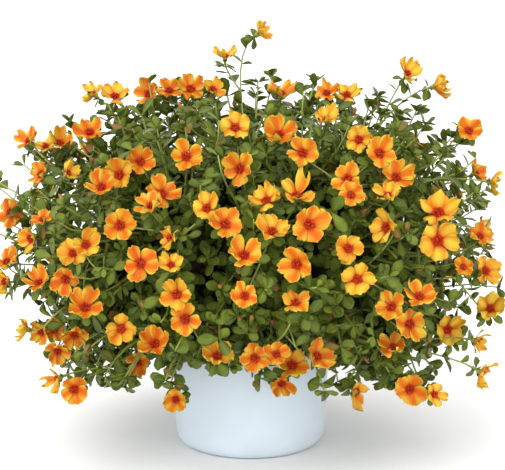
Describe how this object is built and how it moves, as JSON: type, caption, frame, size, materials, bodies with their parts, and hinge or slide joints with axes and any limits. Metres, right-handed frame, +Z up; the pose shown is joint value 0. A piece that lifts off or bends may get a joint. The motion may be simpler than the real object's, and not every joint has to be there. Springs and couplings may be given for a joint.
{
  "type": "potted portulaca",
  "caption": "Potted portulaca in full bloom: a wide mound of fleshy green leaves and orange five-petalled blooms over a plain round white pot that rests on its flat base.",
  "frame": {"origin": "middle of the pot's flat underside", "axes": "+Z up along the pot's axis; -Y is the side that the picture shows; +X is to the right of someone who looks at that side"},
  "size_m": [0.4931, 0.4319, 0.4132],
  "materials": {
    "pot_white": "satin",
    "soil_brown": "matte",
    "leaf_green": "satin",
    "petal_orange": "matte"
  },
  "bodies": {
    "root": {"pot": "pot_white", "soil": "soil_brown", "leafy_stem_01": "leaf_green", "leafy_stem_02": "leaf_green", "leafy_stem_03": "leaf_green", "leafy_stem_04": "leaf_green", "leafy_stem_05": "leaf_green", "leafy_stem_06": "leaf_green", "leafy_stem_07": "leaf_green", "leafy_stem_08": "leaf_green", "leafy_stem_09": "leaf_green", "leafy_stem_10": "leaf_green", "leafy_stem_11": "leaf_green", "leafy_stem_12": "leaf_green", "leafy_stem_13": "leaf_green", "leafy_stem_14": "leaf_green", "bloom_spray_01": "petal_orange", "bloom_spray_02": "petal_orange", "bloom_spray_03": "petal_orange", "bloom_spray_04": "petal_orange", "bloom_spray_05": "petal_orange", "bloom_spray_06": "petal_orange", "bloom_spray_07": "petal_orange", "bloom_spray_08": "petal_orange", "bloom_spray_09": "petal_orange", "bloom_spray_10": "petal_orange", "bloom_spray_11": "petal_orange", "bloom_spray_12": "petal_orange", "bloom_spray_13": "petal_orange", "bloom_spray_14": "petal_orange", "bloom_spray_15": "petal_orange", "bloom_spray_16": "petal_orange", "bloom_spray_17": "petal_orange", "bloom_spray_18": "petal_orange", "bloom_spray_19": "petal_orange", "bloom_spray_20": "petal_orange", "bloom_spray_21": "petal_orange", "bloom_spray_22": "petal_orange", "bloom_spray_23": "petal_orange", "bloom_spray_24": "petal_orange", "bloom_spray_25": "petal_orange", "bloom_spray_26": "petal_orange", "bloom_spray_27": "petal_orange", "bloom_spray_28": "petal_orange", "bloom_spray_29": "petal_orange", "bloom_spray_30": "petal_orange", "bloom_spray_31": "petal_orange", "bloom_spray_32": "petal_orange", "bloom_spray_33": "petal_orange", "bloom_spray_34": "petal_orange", "bloom_spray_35": "petal_orange", "bloom_spray_36": "petal_orange", "bloom_spray_37": "petal_orange", "bloom_spray_38": "petal_orange", "bloom_spray_39": "petal_orange", "bloom_spray_40": "petal_orange", "bloom_spray_41": "petal_orange", "bloom_spray_42": "petal_orange"}
  },
  "joints": []
}
